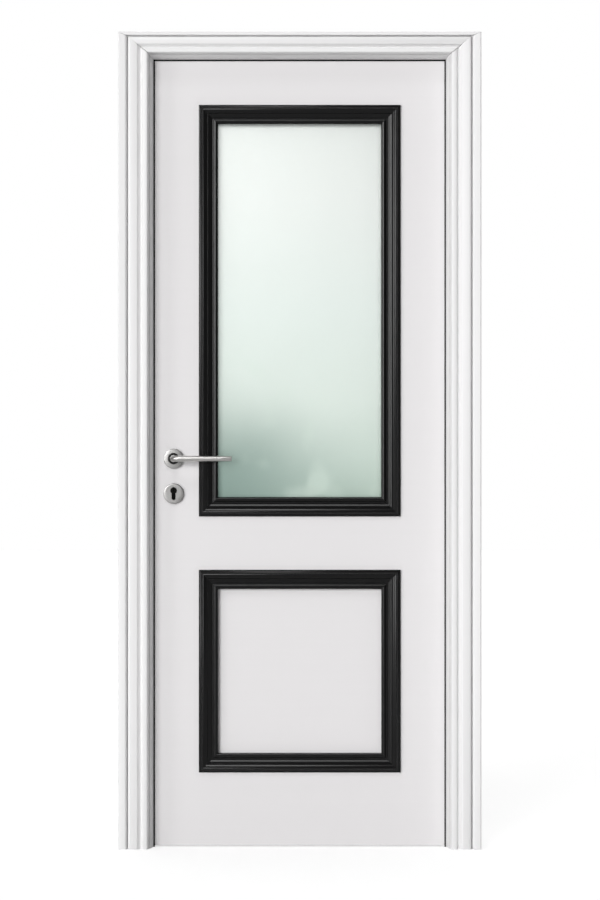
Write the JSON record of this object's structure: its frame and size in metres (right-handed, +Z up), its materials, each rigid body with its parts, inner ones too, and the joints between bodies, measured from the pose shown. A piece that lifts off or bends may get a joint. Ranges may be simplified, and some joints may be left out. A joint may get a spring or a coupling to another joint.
{
  "type": "door",
  "caption": "Single hinged interior door in its lining with moulded casings: frosted upper pane, lower panel, lever handle and key cylinder.",
  "frame": {"origin": "on the floor, on the leaf's centre line, at the middle of the leaf's thickness", "axes": "+X to the hinge side seen from the front, +Y away from the viewer, the way the leaf opens, +Z up"},
  "size_m": [0.96, 0.164, 2.1597],
  "materials": {
    "barrel_brass": "nickel plated, satin",
    "black_lacquer": "satin black lacquer",
    "frosted_glass": "frosted, pale green",
    "satin_steel": "satin",
    "seal_rubber": "matt black",
    "white_lacquer": "satin white lacquer",
    "zinc_steel": "zinc plated"
  },
  "bodies": {
    "frame": {"lining_hinge_side": "white_lacquer", "lining_lock_side": "white_lacquer", "lining_head": "white_lacquer", "stop_hinge_side": "white_lacquer", "stop_lock_side": "white_lacquer", "stop_head": "white_lacquer", "frame_seal": "seal_rubber", "casing_left": "white_lacquer", "casing_right": "white_lacquer", "casing_head": "white_lacquer", "backband_left": "white_lacquer", "backband_right": "white_lacquer", "backband_head": "white_lacquer", "rear_casing_left": "white_lacquer", "rear_casing_right": "white_lacquer", "rear_casing_head": "white_lacquer", "strike_plate": "satin_steel", "bottom_hinge_frame_half": "satin_steel", "middle_hinge_frame_half": "satin_steel", "top_hinge_frame_half": "satin_steel", "hinge_pins": "satin_steel", "frame_screws": "satin_steel"},
    "leaf": {"front_skin": "white_lacquer", "rear_skin": "white_lacquer", "lower_panel": "white_lacquer", "lock_stile": "white_lacquer", "hinge_stile": "white_lacquer", "top_rail": "white_lacquer", "bottom_rail": "white_lacquer", "middle_rail": "white_lacquer", "glazing_seals": "seal_rubber", "glass_pane": "frosted_glass", "rear_upper_moulding": "black_lacquer", "rear_lower_moulding": "black_lacquer", "upper_moulding_left": "black_lacquer", "upper_moulding_right": "black_lacquer", "upper_moulding_top": "black_lacquer", "upper_moulding_bottom": "black_lacquer", "lower_moulding_left": "black_lacquer", "lower_moulding_right": "black_lacquer", "lower_moulding_top": "black_lacquer", "lower_moulding_bottom": "black_lacquer", "front_rose": "satin_steel", "rear_rose": "satin_steel", "front_key_rose": "satin_steel", "rear_key_rose": "satin_steel", "lock_faceplate": "satin_steel", "lock_case": "zinc_steel", "lock_barrel": "barrel_brass", "bottom_hinge_leaf_half": "satin_steel", "middle_hinge_leaf_half": "satin_steel", "top_hinge_leaf_half": "satin_steel", "leaf_screws": "satin_steel"},
    "lever": {"front_lever": "satin_steel", "rear_lever": "satin_steel", "lever_spindle": "zinc_steel", "lever_follower": "zinc_steel"},
    "latch": {"latch_bolt": "zinc_steel"},
    "dead_bolt": {"dead_bolt": "zinc_steel"},
    "key_plug": {"lock_plug": "barrel_brass"}
  },
  "joints": [
    {"name": "leaf_swing", "type": "hinge", "parent": "frame", "child": "leaf", "pos_m": [0.4015, 0.029, 1.06], "axis": [0, 0, -1], "range_deg": [0, 110]},
    {"name": "lever_turn", "type": "hinge", "parent": "leaf", "child": "lever", "pos_m": [-0.335, 0, 1.032], "axis": [0, 1, 0], "range_deg": [0, 45], "stiffness_Nm_per_rad": 1.2, "springref_deg": -20.05},
    {"name": "latch_slide", "type": "slide", "parent": "leaf", "child": "latch", "axis": [-1, 0, 0], "range_m": [0, 0.009]},
    {"name": "key_turn", "type": "hinge", "parent": "leaf", "child": "key_plug", "pos_m": [-0.335, 0, 0.947], "axis": [0, -1, 0], "range_deg": [0, 360]},
    {"name": "dead_bolt_slide", "type": "slide", "parent": "leaf", "child": "dead_bolt", "axis": [-1, 0, 0], "range_m": [0, 0.014]}
  ],
  "couplings": [
    {"joint": "key_turn", "follows": "dead_bolt_slide", "rad_per_m": 448.79}
  ]
}
